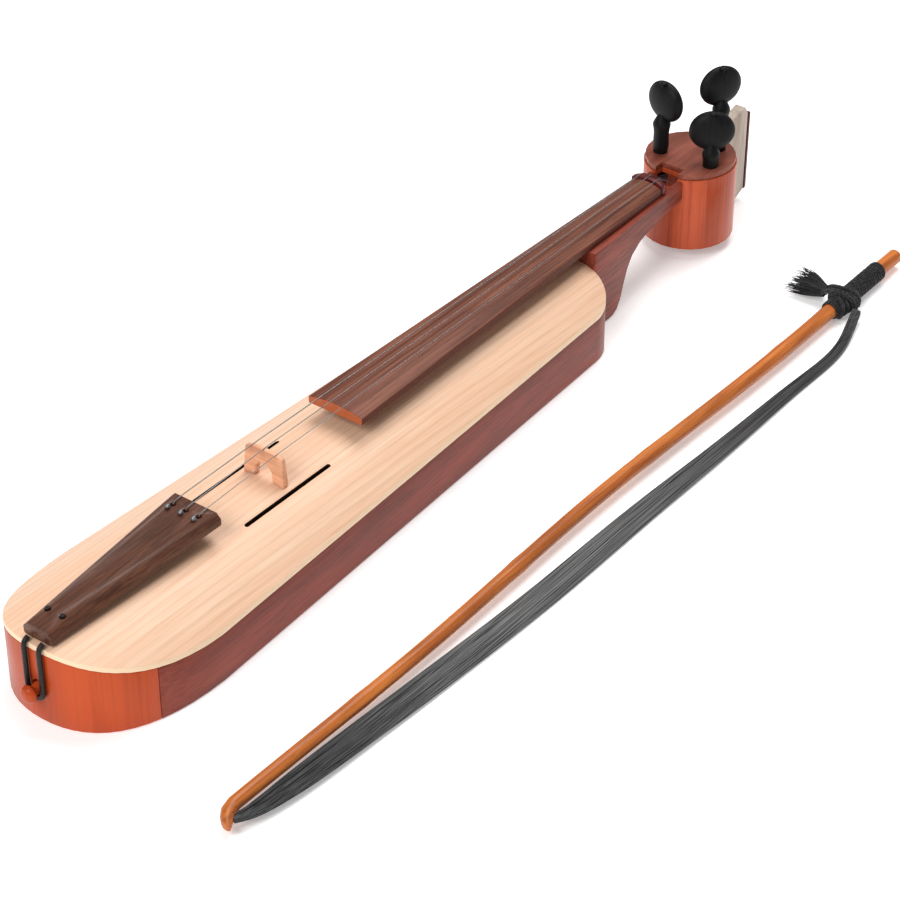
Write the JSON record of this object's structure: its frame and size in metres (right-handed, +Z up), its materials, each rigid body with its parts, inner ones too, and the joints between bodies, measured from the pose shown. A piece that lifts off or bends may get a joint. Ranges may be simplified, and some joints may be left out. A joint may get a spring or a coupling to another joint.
{
  "type": "box fiddle",
  "caption": "Narrow box-bodied folk fiddle with tailpiece, bridge, raised fingerboard and hollow peg head with turning pegs; its bow lies beside it.",
  "frame": {"origin": "middle of the flat strip of the back, on the surface the fiddle lies on", "axes": "+Y along the strings towards the head, +Z up through the soundboard, +X towards the bow"},
  "size_m": [0.1871, 0.6005, 0.1064],
  "materials": {
    "spruce": "satin",
    "red_varnish": "gloss varnish",
    "orange_varnish": "gloss varnish",
    "board_wood": "satin",
    "tailpiece_wood": "satin",
    "bridge_wood": "plain",
    "crest_wood": "satin",
    "black_wood": "satin",
    "inner_wood": "raw",
    "steel": "bright",
    "gut": "satin",
    "stick_wood": "gloss varnish",
    "horsehair": "satin",
    "wrap_cloth": "matte"
  },
  "bodies": {
    "fiddle": {"soundboard": "spruce", "back_plate": "red_varnish", "rib_left": "red_varnish", "rib_right": "red_varnish", "neck": "red_varnish", "head_face": "red_varnish", "tail_rib": "orange_varnish", "head_box": "orange_varnish", "nut": "orange_varnish", "end_button": "orange_varnish", "tail_block": "inner_wood", "lining_left": "inner_wood", "lining_right": "inner_wood", "bass_bar": "inner_wood", "sound_post": "inner_wood", "fingerboard": "board_wood", "crest_rim": "board_wood", "tailpiece": "tailpiece_wood", "bridge": "bridge_wood", "crest_plate": "crest_wood", "string_low": "steel", "string_ball_low": "steel", "string_middle": "steel", "string_ball_middle": "steel", "string_high": "steel", "string_ball_high": "steel", "tail_gut": "gut", "gut_end_left": "gut", "gut_end_right": "gut"},
    "peg_low_body": {"peg_low": "black_wood", "peg_cap_low": "black_wood", "winding_low": "steel"},
    "peg_middle_body": {"peg_middle": "black_wood", "peg_cap_middle": "black_wood", "winding_middle": "steel"},
    "peg_high_body": {"peg_high": "black_wood", "peg_cap_high": "black_wood", "winding_high": "steel"},
    "bow": {"bow_stick": "stick_wood", "bow_hair": "horsehair", "handle_wrap": "wrap_cloth", "hair_knot": "wrap_cloth", "tassel": "wrap_cloth"}
  },
  "joints": [
    {"name": "tune_low", "type": "hinge", "parent": "fiddle", "child": "peg_low_body", "pos_m": [-0.01519, 0.31742, 0.055], "axis": [0, 0, 1], "continuous": true},
    {"name": "tune_middle", "type": "hinge", "parent": "fiddle", "child": "peg_middle_body", "pos_m": [0.00962, 0.33976, 0.055], "axis": [0, 0, 1], "continuous": true},
    {"name": "tune_high", "type": "hinge", "parent": "fiddle", "child": "peg_high_body", "pos_m": [0.01645, 0.32047, 0.055], "axis": [0, 0, 1], "continuous": true},
    {"name": "bow_lift", "type": "slide", "parent": "fiddle", "child": "bow", "axis": [0, 0, 1], "range_m": [0, 0.15]}
  ]
}
